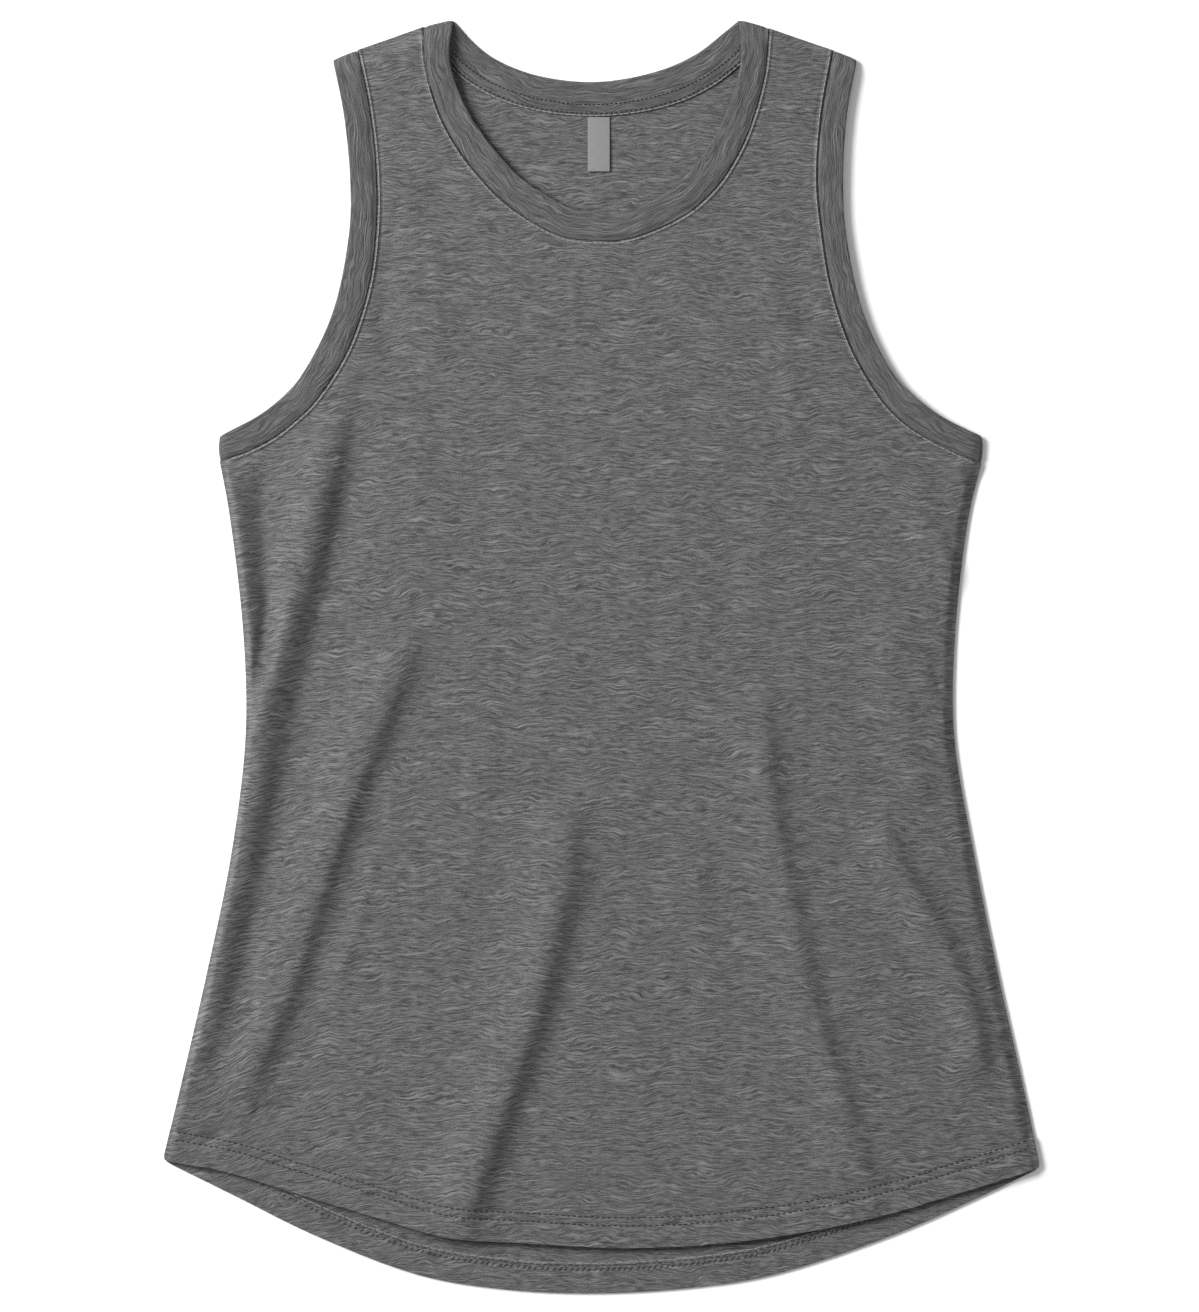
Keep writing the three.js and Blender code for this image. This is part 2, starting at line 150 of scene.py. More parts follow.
class Line:
    """A smooth line through points in the plane. Called with shares of its length, it gives the points there."""

    def __init__(self, points):
        p = np.array(points, float)
        p = np.vstack([2 * p[0] - p[1], p, 2 * p[-1] - p[-2]])
        t = np.linspace(0, 1, 50, endpoint=False)[:, None]
        runs = []
        for a, b, c, d in zip(p, p[1:], p[2:], p[3:]):
            ab, bc, cd = (np.linalg.norm(v) ** 0.5 for v in (b - a, c - b, d - c))
            leave = ((b - a) / ab - (c - a) / (ab + bc) + (c - b) / bc) * bc
            arrive = ((c - b) / bc - (d - b) / (bc + cd) + (d - c) / cd) * bc
            runs.append(b + leave * t + (3 * (c - b) - 2 * leave - arrive) * t**2 + (2 * (b - c) + leave + arrive) * t**3)
        self.points = np.vstack([*runs, p[-2:-1]])
        self.gone = np.concatenate([[0], np.cumsum(np.linalg.norm(np.diff(self.points, axis=0), axis=1))])
        self.long = self.gone[-1]

    def __call__(self, share):
        s = np.clip(share, 0, 1) * self.long
        return np.stack([np.interp(s, self.gone, self.points[:, k]) for k in (0, 1)], axis=-1)


def mix(a, b, t):
    return a + (b - a) * t


def rise(t):
    s = np.clip(t, 0, 1)
    return s * s * (3 - 2 * s)


def bump(x, middle, spread):
    return np.exp(-(((x - middle) / spread) ** 2))


lines = {
    "left_side": Line(LEFT_SIDE), "right_side": Line(RIGHT_SIDE),
    "left_arm_seam": Line(LEFT_ARM_SEAM), "right_arm_seam": Line(RIGHT_ARM_SEAM),
    "left_arm_edge": Line(LEFT_ARM_EDGE), "right_arm_edge": Line(RIGHT_ARM_EDGE),
}
front_hem, back_hem = Line(FRONT_HEM), Line(BACK_HEM)
front_neck_seam, front_neck_edge = Line(FRONT_NECK_SEAM), Line(FRONT_NECK_EDGE)
back_neck_seam, back_neck_edge = Line(BACK_NECK_SEAM), Line(BACK_NECK_EDGE)
print("neck seam round:", round(front_neck_seam.long + back_neck_seam.long), "mm")

# %% How near a point is to a line


def nearest(line, xy):
    """The distance from each point to a line, the share of its length there, and the side that it is on."""
    line = np.array(line, float)
    step = np.linalg.norm(np.diff(line, axis=0), axis=1)
    gone = np.concatenate([[0], np.cumsum(step)])
    off = np.full(xy.shape[:-1], np.inf)
    share = np.zeros(xy.shape[:-1])
    side = np.ones(xy.shape[:-1])
    for i, (a, b) in enumerate(zip(line, line[1:])):
        d = b - a
        t = np.clip(((xy - a) @ d) / step[i] ** 2, 0, 1)
        away = xy - a - t[..., None] * d
        dist = np.hypot(away[..., 0], away[..., 1])
        closer = dist < off
        off = np.where(closer, dist, off)
        share = np.where(closer, (gone[i] + t * step[i]) / gone[-1], share)
        side = np.where(closer, np.sign(d[0] * away[..., 1] - d[1] * away[..., 0]), side)
    return off, share, side


# %% [markdown]
# ## The lay of the cloth
# The front rests on the back with air between them, and falls in soft ridges that run from the chest to the hem.
# A simulation would put its own folds there. These are listed instead: a row for each one, with the line that it runs
# along, its height, and how far it spreads to either side, so they stand where the real ones do.

# %% The large folds, which the solids have too
FOLDS = [
    ("left side ridge", 6.0, 11, 12,
     [(-149, 158), (-157, 118), (-167, 75), (-175, 32), (-185, -2), (-192, -36), (-197, -70), (-204, -104),
      (-215, -155), (-223, -198), (-233, -232), (-240, -262)]),
    ("left side trough", -2.2, 8, 15,
     [(-137, 158), (-143, 118), (-149, 75), (-158, 32), (-167, -2), (-174, -36), (-180, -70), (-188, -104),
      (-199, -155), (-208, -198), (-218, -232)]),
    ("left hip ridge", 5.6, 19, 9,
     [(-103, 32), (-113, -1), (-124, -32), (-134, -57), (-145, -87), (-155, -117), (-164, -143), (-172, -172),
      (-182, -198), (-192, -224), (-203, -248), (-210, -268)]),
    ("left hip trough", -1.3, 7, 13,
     [(-104, 2), (-116, -32), (-126, -57), (-137, -87), (-147, -117), (-156, -143), (-164, -172), (-174, -198),
      (-184, -224), (-194, -248)]),
    ("middle ridge", 6.2, 19, 10.5,
     [(-19, -70), (-21, -121), (-27, -155), (-37, -194), (-47, -228), (-61, -266), (-73, -301), (-83, -330)]),
    ("middle trough", -1.0, 7, 15, [(-12, -130), (-20, -170), (-32, -215), (-46, -262), (-60, -305)]),
    ("right middle ridge", 3.8, 17, 7.5,
     [(88, -5), (94, -60), (99, -104), (110, -155), (124, -215), (138, -258), (155, -312)]),
    ("right waist ridge", 2.0, 14, 10, [(160, 25), (166, -2), (174, -48), (183, -85)]),
    ("right hip ridge", 4.8, 14, 6.5, [(153, -84), (167, -114), (181, -138), (194, -162), (204, -184), (212, -207), (216, -240)]),
    ("right chest ridge", 1.8, 13, 9, [(172, 100), (188, 66), (200, 38)]),
    ("left strap trough", -1.5, 7, 7, [(-120, 262), (-124, 215), (-121, 165)]),
]
FOLD_FADE = 0.16
FOLD_DEPTH = 1.0  # how much deeper the soft cloth folds than the solids do

# %% The small creases between them
CREASES = [
    ("left armhole drag", 1.2, 8, 5, [(-138, 176), (-144, 150), (-150, 110), (-157, 75), (-165, 40)]),
    ("left rim ridge", 2.8, 5, 6, [(-213, 112), (-208, 81), (-203.5, 45), (-200, 12), (-199, -22)]),
    ("left edge trough", -3.0, 6, 6, [(-193, 112), (-193, 80), (-190, 45), (-190, 15), (-193, -15)]),
    ("left waist crease", 1.5, 1.8, 6, [(-176, 42), (-181, 20), (-189, -12), (-196, -34), (-201, -52)]),
    ("left waist trough", -1.2, 4, 4, [(-187, 40), (-192, 15), (-197, -12), (-201, -30)]),
    ("right armpit crease", 1.2, 6, 1.8, [(203, 112), (206, 101), (210, 86), (212, 76)]),
    ("right side crease", 1.3, 7, 1.8, [(192, 74), (197, 60), (203, 44), (206, 33)]),
    ("right waist crease", 1.2, 8, 2.0, [(183, 5), (189, -18), (196, -38), (202, -55)]),
    ("right rib crease", 0.8, 8, 6, [(170, 40), (176, 5), (184, -20)]),
    ("left hem pull", -1.2, 6, 7, [(-188, -222), (-203, -250), (-225, -274)]),
    ("left corner pull", -1.0, 5, 6, [(-160, -236), (-186, -257), (-232, -280)]),
    ("left hip crease", 0.9, 5, 4, [(-128, -105), (-138, -150), (-152, -190)]),
    ("belly crease", 0.6, 10, 9, [(-65, -40), (-72, -100), (-88, -160)]),
    ("right belly crease", 0.6, 12, 8, [(50, -70), (55, -140), (66, -210)]),
    ("left chest crease", 0.6, 10, 10, [(-110, 150), (-100, 90), (-98, 40)]),
    ("right strap crease", -0.6, 7, 7, [(112, 262), (114, 215), (112, 170)]),
    ("left shoulder crease", -0.8, 5, 6, [(-132, 305), (-128, 270), (-133, 232)]),
    ("left neck crease", 0.8, 6, 5, [(-97, 250), (-92, 210), (-97, 165)]),
    ("right shoulder crease", 0.8, 6, 6, [(128, 300), (122, 262), (128, 225)]),
    ("right chest fold", 0.9, 8, 7, [(92, 232), (104, 190), (108, 140)]),
    ("middle foot", 1.5, 18, 14, [(-62, -262), (-72, -295), (-80, -334)]),
]


def folded(table, xy):
    height = np.zeros(xy.shape[:-1])
    for _, high, left, right, line in table:
        off, share, side = nearest(line, xy)
        runs_up = line[-1][1] > line[0][1]
        spread = np.where((side > 0) == runs_up, left, right)
        fade = rise(share / FOLD_FADE) * rise((1 - share) / FOLD_FADE + 0.35)
        height += high * fade * np.exp(-((off / spread) ** 2))
    return height


# %% How high the front lies
folded_edges = [
    [*LEFT_SIDE, LEFT_ARM_EDGE[0]],
    [*RIGHT_SIDE, RIGHT_ARM_EDGE[0]],
    [LEFT_ARM_EDGE[-1], LEFT_ARM_SEAM[-1], FRONT_NECK_SEAM[0], FRONT_NECK_EDGE[0]],
    [RIGHT_ARM_EDGE[-1], RIGHT_ARM_SEAM[-1], FRONT_NECK_SEAM[-1], FRONT_NECK_EDGE[-1]],
]


def uneven(xy, size, seed):
    """A soft unevenness from -1 to 1, with swells about as wide as size."""
    flat = xy.reshape(-1, 2) / size
    return np.array([noise.noise(Vector((x, y, seed))) for x, y in flat]).reshape(xy.shape[:-1])


def side_wrinkles(xy):
    """Short level wrinkles, where the left side is pushed together below the armhole."""
    wave = np.sin(2 * np.pi * (xy[..., 1] - 0.3 * xy[..., 0]) / 8 + 3.5 * uneven(xy, 22, 12.5))
    near = bump(xy[..., 0], -200, 14) * bump(xy[..., 1], 45, 52)
    return 0.3 * wave * near


def front_under(xy, clear):
    offs = [nearest(edge, xy)[0] / roll for edge, roll in zip(folded_edges, (4.5, 7, 9, 9))]
    soft = 0.35 * uneven(xy, 38, 3.1) + 0.16 * uneven(xy, 15, 7.7)
    inner = INNER_LIFT + FOLD_DEPTH * folded(FOLDS, xy) + folded(CREASES, xy) + side_wrinkles(xy) + soft
    for x, y in (FRONT_NECK_EDGE[0], FRONT_NECK_EDGE[-1]):
        inner = inner + PEAK_LIFT * bump(np.hypot(xy[..., 0] - x, xy[..., 1] - y), 22, 20)
    return np.maximum(clear, mix(clear, inner, rise(np.min(offs, axis=0))))


# %% [markdown]
# ## The panels' grids
# Each panel is a patch between its hem, its two sides and its top, as the pattern piece is. The grid is finer
# along the edges, where the cloth rolls over and where the stitches pull it in.

# %% A panel's patch


def end_to_end(share, stretches):
    start = 0
    out = np.zeros((*np.shape(share), 2))
    for end, line in stretches:
        here = (share >= start) & (share <= end)
        out[here] = line((share[here] - start) / (end - start))
        start = end
    return out


def panel(hem, neck_seam):
    """The points of a panel at shares u of its width and v of its length."""
    left_shoulder = Line([LEFT_ARM_SEAM[-1], FRONT_NECK_SEAM[0]])
    right_shoulder = Line([FRONT_NECK_SEAM[-1], RIGHT_ARM_SEAM[-1]])
    top = [(SHOULDER_SHARE, left_shoulder), (1 - SHOULDER_SHARE, neck_seam), (1, right_shoulder)]
    left = [(SIDE_SHARE, lines["left_side"]), (1, lines["left_arm_seam"])]
    right = [(SIDE_SHARE, lines["right_side"]), (1, lines["right_arm_seam"])]

    def at(u, v):
        u, v = np.broadcast_arrays(np.asarray(u, float), np.asarray(v, float))
        w, z = u[..., None], v[..., None]
        corners = mix(mix(hem(0.0), hem(1.0), w), mix(np.array(LEFT_ARM_SEAM[-1]), np.array(RIGHT_ARM_SEAM[-1]), w), z)
        between = mix(hem(u), end_to_end(u, top), z) + mix(end_to_end(v, left), end_to_end(v, right), w)
        return between - corners

    return at


front_at = panel(front_hem, front_neck_seam)
back_at = panel(back_hem, back_neck_seam)
PANEL_LONG = lines["left_side"].long / SIDE_SHARE


def hem_share(at, u, distance):
    """The share v at which a panel is this far above its hem's edge."""
    start, higher = at(u, np.zeros_like(u)), at(u, np.full_like(u, 0.05))
    return 0.05 * distance / np.linalg.norm(higher - start, axis=-1)


# %% Where the grid's lines run
EDGE_LINES = np.array([0, 0.5, 1.1, 1.8, 2.6, 3.5, 4.5, 5.6, 6.8, 8.2, 10])


def shares_across(count):
    edge = EDGE_LINES / 450
    inside = np.linspace(edge[-1], SHOULDER_SHARE, count // 4 + 2)[1:]
    left = np.concatenate([edge, inside])
    middle = np.linspace(SHOULDER_SHARE, 1 - SHOULDER_SHARE, count)[1:-1]
    return np.concatenate([left, middle, 1 - left[::-1]])


def shares_along(count):
    hem = np.array([0, 0.4, 0.9, 1.6, 2.6, 4.5, 7, 9.5, 11.4, 12.2, 12.8, 13.4, 14.6, 16, 16.8, 17.4, 18.2, 19, 20.4])
    hem = hem / (0.85 * PANEL_LONG)
    top = 1 - EDGE_LINES[::-1] / PANEL_LONG
    side = np.linspace(hem[-1], SIDE_SHARE, int(count * 0.58))[1:]
    arm = np.linspace(SIDE_SHARE, top[0], int(count * 0.42))[1:]
    return np.concatenate([hem, side, arm, top[1:]])


def panel_grid(at, across, along):
    """The points of the grid. Near the hem its lines keep one distance from the hem's edge all the way across."""
    u, v = np.meshgrid(shares_across(across), shares_along(along), indexing="ij")
    even = hem_share(at, u[:, 0], v[0][:, None] * 0.85 * PANEL_LONG).T
    xy = at(u, mix(even, v, rise(v / 0.3)))
    return u, v, xy, v * 0.85 * PANEL_LONG


# %% [markdown]
# ## From points to cloth
# A cloth is two grids of points, its underside and its upper side, closed all round. Solidify would do the same
# for an even cloth, but a hem has two layers and a band has its own section, so both sides are given here.
# A second layer of coordinates, in metres of cloth, goes with each mesh: the slubs of the knit follow it.

# %% Corners that are a little round
CORNERS = [  # where each one is, the way it is drawn in, how far, and how wide, in millimetres
    (-250, -287, 0.8, 0.6, 1.0, 2.4), (250, -291.5, -0.8, 0.6, 1.0, 2.4),
    (-220.5, 124.5, 0.8, -0.6, 1.7, 3.2), (220, 124.5, -0.8, -0.6, 1.7, 3.2),
    (-154, 342, 0.6, -0.8, 0.7, 2.5), (146.5, 342, -0.6, -0.8, 0.7, 2.5),
    (-84.6, 364, -0.2, -1.0, 0.8, 2.2), (78.5, 364, 0.2, -1.0, 0.8, 2.2),
]


def rounded(points):
    points = points.copy()
    for x, y, dx, dy, pull, wide in CORNERS:
        off = np.hypot(points[..., 0] - x, points[..., 1] - y)
        points[..., :2] += np.array([dx, dy]) * (pull * np.exp(-((off / wide) ** 2)))[..., None]
    return points


# %% A closed cloth between two grids


def cloth(name, low, high, knit, loop=False):
    n, m = low.shape[:2]
    points = rounded(np.concatenate([low.reshape(-1, 3), high.reshape(-1, 3)])) * MM
    index = np.arange(n * m).reshape(n, m)
    following = np.roll(index, -1, axis=0) if loop else index[1:]
    here = index if loop else index[:-1]
    upper = n * m
    skin = np.stack([here[:, :-1], following[:, :-1], following[:, 1:], here[:, 1:]], -1).reshape(-1, 4)
    rim = [(here[:, 0], following[:, 0]), (following[:, -1], here[:, -1])]
    if not loop:
        rim += [(index[0, 1:], index[0, :-1]), (index[-1, :-1], index[-1, 1:])]
    walls = [np.stack([a, b, b + upper, a + upper], -1) for a, b in rim]
    faces = np.concatenate([skin[:, ::-1], skin + upper, *walls])
    mesh = bpy.data.meshes.new(name)
    mesh.from_pydata(points.tolist(), [], faces.tolist())
    layer = mesh.uv_layers.new(name="knit")
    both = np.concatenate([knit.reshape(-1, 2), knit.reshape(-1, 2)]) * MM
    corner = np.empty(len(mesh.loops), int)
    mesh.loops.foreach_get("vertex_index", corner)
    layer.data.foreach_set("uv", both[corner].ravel())
    return finished(name, mesh)


def finished(name, mesh):
    """Puts a mesh in the scene, smooth and with its faces turned outwards."""
    mesh.polygons.foreach_set("use_smooth", [True] * len(mesh.polygons))
    obj = bpy.data.objects.new(name, mesh)
    bpy.context.scene.collection.objects.link(obj)
    if volume(mesh) < 0:
        mesh.flip_normals()
    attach(obj, "root")
    print(name, len(mesh.polygons), "faces")
    return obj


def volume(mesh):
    mesh.calc_loop_triangles()
    points = np.empty(len(mesh.vertices) * 3)
    mesh.vertices.foreach_get("co", points)
    corners = np.empty(len(mesh.loop_triangles) * 3, int)
    mesh.loop_triangles.foreach_get("vertices", corners)
    a, b, c = points.reshape(-1, 3)[corners.reshape(-1, 3)].transpose(1, 0, 2)
    return float(np.einsum("ij,ij->i", a, np.cross(b, c)).sum() / 6)


def surface(obj):
    return sum(face.area for face in obj.data.polygons)


# %% [markdown]
# ## The front
# The front is one piece of jersey, cut with a scooped neck and a curved hem. Its hem is turned up once inside
# and held by two rows of stitches, which pull the cloth in a little. At the bands it is drawn into the seam,
# and stands up beside it in a narrow ridge, where the seam is pressed towards the body and stitched down.

# %% Seams that shape the front
RIGHT_SEAM_STEP = [(213.5, -190), (234.5, -230), (239.6, -241.4), (241.9, -259.6), (243.7, -275), (247.1, -292.7)]


def off_seams(xy, seams):
    return np.min([nearest(seam.points[::10], xy)[0] for seam in seams], axis=0)


def seam_relief(off):
    """A ditch in the seam, a narrow ridge beside it, and a shallow pull on its far side."""
    return 0.5 * bump(off, 1.5, 0.8) - 0.9 * bump(off, 0, 0.8) - 0.35 * bump(off, 3.0, 0.8)


def hem_relief(above, rows, u):
    puff = 0.3 * bump(above, mix(0, rows[0], 0.5), 5)
    pull = sum(0.45 * bump(above, row, 0.9) for row in rows)
    wave = 0.14 * np.sin(u * 160 + 3 * np.sin(u * 21)) * rise((above - 2) / 8) * rise((24 - above) / 5)
    return puff - pull + wave


# %% The front's cloth
u, v, xy, above = panel_grid(front_at, 148, 222)
in_hem = rise((HEM_DEPTH - above) / 0.6 + 0.5)
seam_off, seam_share, _ = nearest(RIGHT_SEAM_STEP, xy)
off = off_seams(xy, [front_neck_seam, lines["left_arm_seam"], lines["right_arm_seam"]])
relief = seam_relief(off)
relief += hem_relief(above, FRONT_ROWS, u) - 0.5 * bump(seam_off, 0, 0.9) * rise(seam_share * 3)
clear = LAYER + 0.15 + 2 * HEM_LAYER * in_hem + 1.2 * bump(off, 0, 6)
single = front_under(xy, clear)
inner = rise(np.min([nearest(edge, xy)[0] for edge in folded_edges[:2]], axis=0) / 5)
single = single + relief * np.maximum(inner, 0.2)
low = np.dstack([xy, single - HEM_LAYER * in_hem])
high = np.dstack([xy, single + LAYER])


def knit_of(xy):
    """Where a point of a panel lies on its knit. The courses rise a little towards the middle on the left."""
    slope_start, slope_end, slope = -60, -250, 0.2
    t = np.clip((xy[..., 0] - slope_start) / (slope_end - slope_start), 0, 1)
    drop = slope * (slope_end - slope_start) * t**2 / 2
    drop -= 20 * bump(np.hypot(xy[..., 0] + 258, xy[..., 1] + 262), 0, 75)
    return np.dstack([xy[..., 0], xy[..., 1] - drop])


front = cloth("front_cloth", low, high, knit_of(xy))
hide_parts("front_panel")
print("front area:", round(surface(front) / 2, 4))

# %% [markdown]
# ## The back
# The back is cut like the front, but higher at the neck and longer at the hem. It lies flat, so only its inside
# shows, above the front's neckline and below its hem, where the turned-up edge and its stitches can be seen.

# %% The back's cloth
u, v, xy, above = panel_grid(back_at, 100, 168)
in_hem = rise((HEM_DEPTH - 0.8 - above) / 0.6 + 0.5)
soft = 0.12 * (1 + uneven(xy, 30, 1.4)) * rise(above / 12)
low = np.dstack([xy, np.zeros_like(u)])
top = LAYER + HEM_LAYER * in_hem + 0.5 * hem_relief(above, BACK_ROWS, u) * in_hem
top += 0.35 * bump(above, HEM_DEPTH - 1.4, 0.7)
high = np.dstack([xy, np.maximum(0.5, top - soft * (1 - in_hem))])
back = cloth("back_cloth", low, high, knit_of(xy))
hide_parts("back_panel")
print("back area:", round(surface(back) / 2, 4))

# %% [markdown]
# ## The bands
# A band is a strip folded double and sewn on by its two raw edges, so its outer edge is a soft roll. It could be
# a curve with a profile, but its width changes a little round the neck, so it is a loop of sections: along the
# front, over the shoulder, along the back, and over again. The section is thickest by the roll.

# %% A band's section
ACROSS = np.array([0, 0.25, 0.8, 1.6, 2.8, 4.5, 6.5, 8.5, 10.5, 12, 13.2, 14.2, 14.9, 15.42])


def section(edge, seam, turned, place):
    """One section of a band, as its low and its high side. turned is 0 on the front and 1 on the back."""
    xy = edge + (seam - edge) * (ACROSS / BAND_WIDTH)[:, None]
    roll = np.sqrt(1 - (1 - np.clip(ACROSS / 0.9, 0, 1)) ** 2)
    thin = rise((ACROSS - 12.6) / 2.6)
    middle = mix(BAND / 2, mix(CLOTH / 2, BAND - CLOTH / 2, turned), thin)
    half = (0.12 + 0.88 * roll) * mix(BAND / 2, LAYER / 2, thin)
    return [place(xy, middle - half), place(xy, middle + half)]


def stations(count, line):
    """The points along a line where a band has sections. Both ends stop short by the reach of its turn."""
    points = line(np.linspace(0, 1, count + 1))
    for end, step in ((0, 1), (-1, -1)):
        inwards = line(0.03 if end == 0 else 0.97) - line(0.0 if end == 0 else 1.0)
        short = points[end] + inwards * TURN_REACH / np.linalg.norm(inwards)
        points[end] = short
    return points


def on_front(xy, thick):
    ripple = 0.14 * uneven(xy, 9, 5.2)
    return np.column_stack([xy, front_under(xy, BAND + 2 * TURN_GAP) + thick + ripple])


def on_back(xy, thick):
    return np.column_stack([xy, BAND - thick])


# %% A band that loops over the shoulder


def turn(front_end, back_end, outward, count=9):
    """The sections that carry a band over, from its end on the front to its end on the back."""
    rows = []
    for share in np.linspace(0, 1, count + 1)[1:-1]:
        angle = math.pi * share

        def place(xy, thick):
            radius = (TURN_GAP + thick)[:, None] if np.ndim(thick) else TURN_GAP + thick
            out = xy + outward * radius * math.sin(angle)
            return np.column_stack([out, BAND + TURN_GAP + radius * math.cos(angle)])

        edge, seam = (mix(front_end[k], back_end[k], share) for k in (0, 1))
        rows.append(section(edge, seam, share, place))
    return rows


def band(name, count, front_edge, front_seam, back_edge, back_seam):
    fronts = list(zip(stations(count, front_edge), stations(count, front_seam)))
    backs = list(zip(stations(count, back_edge), stations(count, back_seam)))
    last = front_seam(1.0) - front_seam(0.97)
    first = front_seam(0.0) - front_seam(0.03)
    rows = [section(e, s, 0, on_front) for e, s in fronts]
    rows += turn(fronts[-1], backs[-1], last / np.linalg.norm(last))
    rows += [section(e, s, 1, on_back) for e, s in backs[::-1]]
    rows += turn(fronts[0], backs[0], first / np.linalg.norm(first))[::-1]
    low = np.array([row[0] for row in rows])
    high = np.array([row[1] for row in rows])
    middle = high[:, 6]
    gone = np.concatenate([[0], np.cumsum(np.linalg.norm(np.diff(middle, axis=0), axis=1))])
    knit = np.dstack(np.broadcast_arrays(gone[:, None], ACROSS[None, :]))
    obj = cloth(name, low, high, knit, loop=True)
    print(name, "round:", round(gone[-1]), "area:", round(surface(obj) / 2, 4))
    return obj, high


# %% The neck band and the two armhole bands
neck, neck_high = band("neck_band_cloth", 150, front_neck_edge, front_neck_seam, back_neck_edge, back_neck_seam)
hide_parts("neck_band")
arms = []
for hand in ("left", "right"):
    edge, seam = lines[f"{hand}_arm_edge"], lines[f"{hand}_arm_seam"]
    arm, _ = band(f"{hand}_arm_band_cloth", 120, edge, seam, edge, seam)
    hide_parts(f"{hand}_arm_band")
    arms.append(arm)

# %% [markdown]
# ## Tape and label
# The neck seam is covered on the inside of the back by a narrow tape, and a small ribbon hangs from it.
# Both are thin strips that lie on the cloth, so each is a small grid of its own. The ribbon is blank.

# %% The tape over the back neck seam
TAPE_ACROSS = np.array([12.3, 12.7, 13.6, 14.6, 15.6, 17, 18.4, 19.3, 19.7])
TAPE_UNDER = np.array([2.1, 2.1, 2.05, 1.9, 1.5, 1.35, 1.3, 1.3, 1.3])
TAPE_CROWN = np.array([0.35, 0.6, 0.75, 0.8, 0.8, 0.85, 0.8, 0.6, 0.35])
TAPE_ENDS = (0.067, 0.933)
shares = np.linspace(*TAPE_ENDS, 110)
edge, seam = back_neck_edge(shares), back_neck_seam(shares)
xy = edge[:, None] + (seam - edge)[:, None] * (TAPE_ACROSS / BAND_WIDTH)[None, :, None]
under = np.broadcast_to(TAPE_UNDER, xy.shape[:2])
low = np.dstack([xy, under])
high = np.dstack([xy, under + TAPE_CROWN + 0.06 * uneven(xy, 4, 2.2)])
gone = shares * back_neck_seam.long
knit = np.dstack(np.broadcast_arrays(gone[:, None], TAPE_ACROSS[None, :]))
tape = cloth("neck_tape_cloth", low, high, knit)
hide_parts("back_neck_tape")
print("tape area:", round(surface(tape) / 2, 5))

# %% The label
LABEL_WIDTH, LABEL_LONG, LABEL_MIDDLE = 12.5, 31, -1.5
label_top = back_neck_edge(0.5)[1] - 19.8 - 0.3
across = np.array([-6.25, -6.0, -5.4, -3, 0, 3, 5.4, 6.0, 6.25]) + LABEL_MIDDLE
down = label_top - np.array([0, 0.4, 1.2, 3, 8, 14, 20, 26, 29, 30, 30.6, 31])
x, y = np.meshgrid(across, down, indexing="ij")
lift = 1.05 + 0.5 * rise((label_top - y) / LABEL_LONG) + 0.12 * np.cos((x - LABEL_MIDDLE) / 3)
low = np.dstack([x, y, lift])
high = np.dstack([x, y, lift + 0.55])
label = cloth("neck_label_ribbon", low, high, np.dstack([x, y]))
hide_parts("neck_label")
print("label area:", round(surface(label) / 2, 6))

# %% [markdown]
# ## Stitches
# Each stitch is a short piece of thread that comes up, lies on the cloth and goes down again. Hundreds of them
# could be copies of one object. As a part should stay simple, all threads of a seam are one mesh of thin tubes.

# %% Thin tubes along paths


def threads(name, paths, radius, sides=6):
    """One mesh with a tube along each path, closed and thin at both ends."""
    points, faces = [], []
    angles = np.linspace(0, 2 * np.pi, sides, endpoint=False)
    for path in paths:
        path = np.array(path, float)
        ahead = np.gradient(path, axis=0)
        ahead /= np.linalg.norm(ahead, axis=1)[:, None]
        aside = np.cross(ahead, (0, 0, 1))
        aside /= np.maximum(np.linalg.norm(aside, axis=1)[:, None], 1e-6)
        upward = np.cross(aside, ahead)
        thick = radius * np.sqrt(np.clip(1.15 - np.abs(np.linspace(-1, 1, len(path))) ** 6, 0.1, 1))
        ring = aside[:, None] * np.cos(angles)[None, :, None] + upward[:, None] * np.sin(angles)[None, :, None]
        start = len(points)
        points.extend((path[:, None] + ring * thick[:, None, None]).reshape(-1, 3))
        for i in range(len(path) - 1):
            for j in range(sides):
                a, b = start + i * sides + j, start + i * sides + (j + 1) % sides
                faces.append((a, b, b + sides, a + sides))
        faces.append([start + j for j in range(sides)][::-1])
        faces.append([start + (len(path) - 1) * sides + j for j in range(sides)])
    mesh = bpy.data.meshes.new(name)
    mesh.from_pydata((np.array(points) * MM).tolist(), [], faces)
    return finished(name, mesh)


def stitch_row(at, height, count, long_share, dip, wander, seed):
    """Stitches along at(share), each from a low point up onto the cloth and down again."""
    rng = np.random.default_rng(seed)
    paths = []
    for i in range(count):
        start = (i + rng.uniform(-0.06, 0.06)) / count
        t = start + np.linspace(0, long_share, 6) / count
        xy = at(t) + rng.uniform(-wander, wander, 2)
        z = height(xy) - dip * np.abs(np.linspace(-1, 1, 6)) ** 3
        paths.append(np.column_stack([xy, z]))
    return paths


# %% How high the stitched cloth is
front_depth = {}


def top_of(obj):
    """The height of a cloth's upper side at points of the plane, found by rays from above."""
    tree = obj

    def height(xy):
        out = []
        for x, y in np.atleast_2d(xy):
            hit, place, _, _ = tree.ray_cast(Vector((x * MM, y * MM, 0.05)), Vector((0, 0, -1)))
            out.append(place.z / MM if hit else np.nan)
        out = np.array(out)
        known = ~np.isnan(out)
        return np.interp(np.arange(len(out)), np.flatnonzero(known), out[known]) if known.any() else out + 2.0

    return height


bpy.context.view_layer.update()
front_top, back_top, tape_top = top_of(front), top_of(back), top_of(tape)

